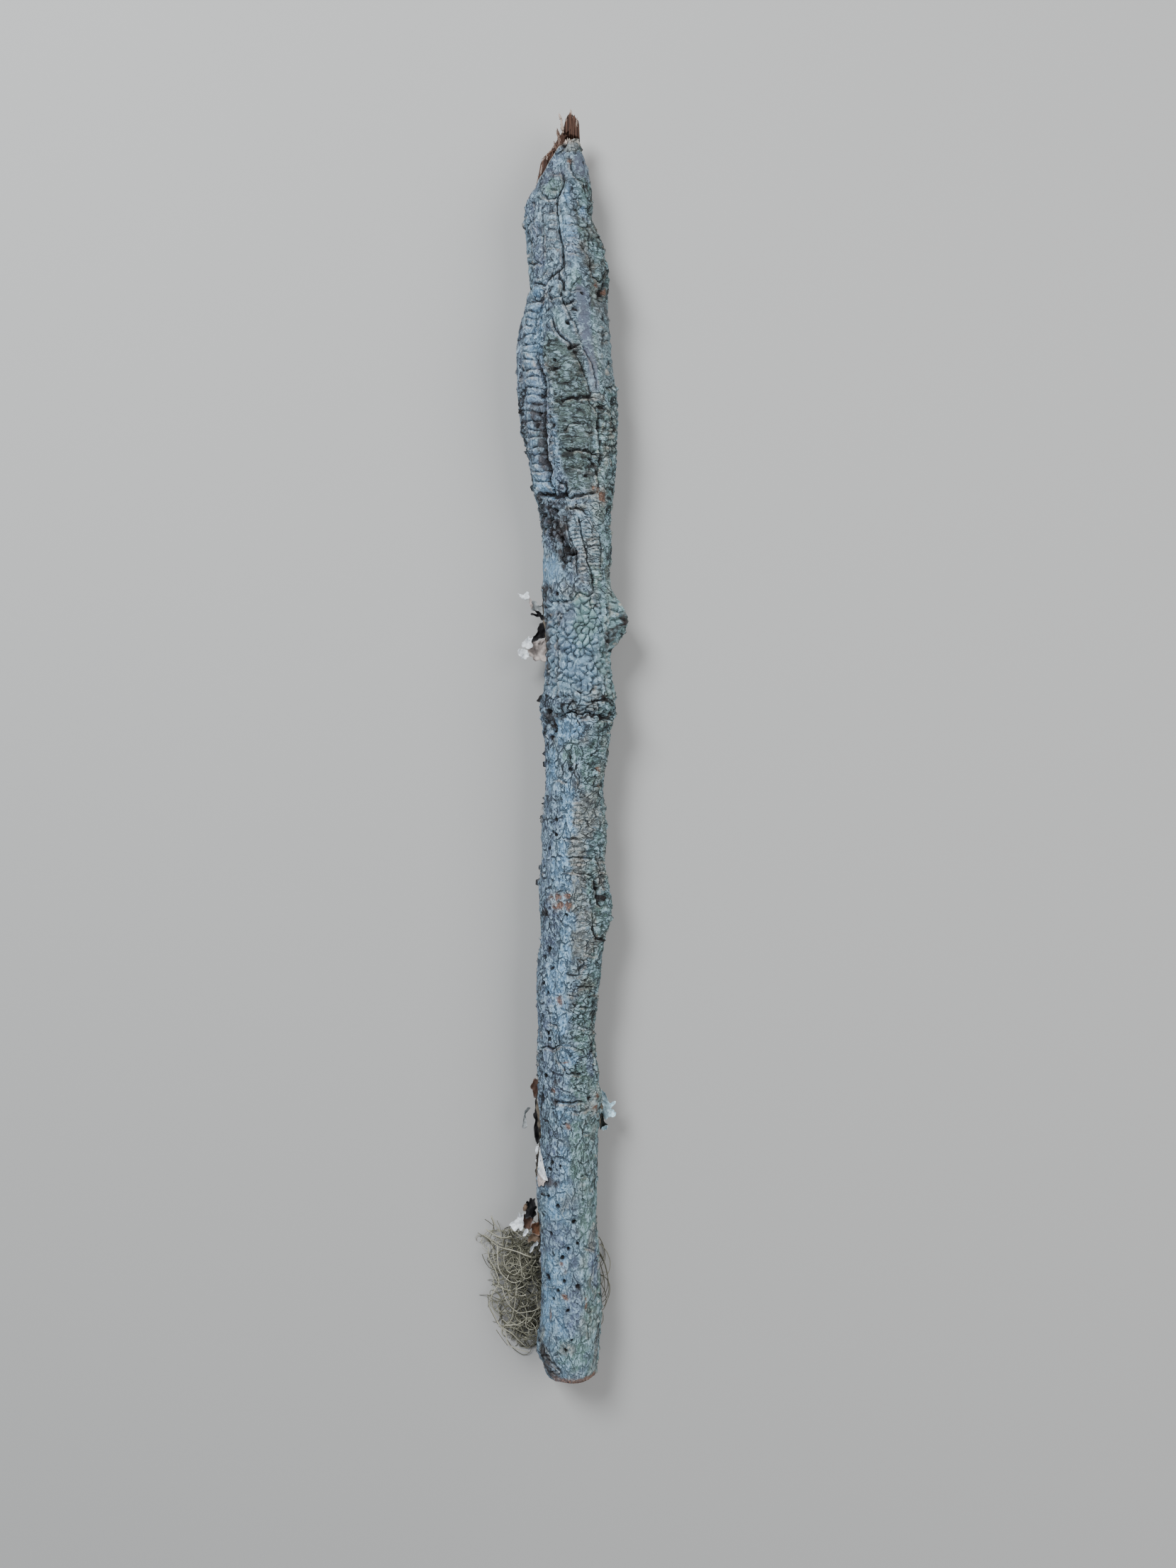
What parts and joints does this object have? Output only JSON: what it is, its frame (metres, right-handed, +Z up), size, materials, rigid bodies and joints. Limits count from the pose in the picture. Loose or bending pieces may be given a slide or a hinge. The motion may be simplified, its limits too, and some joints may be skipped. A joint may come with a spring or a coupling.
{
  "type": "lichen on a twig",
  "caption": "Cut twig with rough cracked bark, a swelling, a collar and a broken tip, carrying leafy lichens and a beard lichen.",
  "frame": {"origin": "bottom centre of the whole, on the surface that it lies on", "axes": "+Y along the twig towards its broken tip, +Z up, out of the side that the picture shows"},
  "size_m": [0.0578, 0.474, 0.0327],
  "materials": {
    "bark": "rough bark under a pale blue-grey crust lichen",
    "broken_wood": "raw splintered wood",
    "leafy_lichen": "matte, thin and leathery, pale above and black beneath",
    "pale_leafy_lichen": "matte, blue-white",
    "beard_lichen": "matte tangle of thin greenish strands"
  },
  "bodies": {
    "root": {"twig": "bark", "leafy_lichen_upper_left": "leafy_lichen", "leafy_lichen_left_middle": "leafy_lichen", "leafy_lichen_left_strip": "leafy_lichen", "leafy_lichen_left_low": "leafy_lichen", "leafy_lichen_right": "pale_leafy_lichen", "beard_lichen": "beard_lichen"}
  },
  "joints": []
}
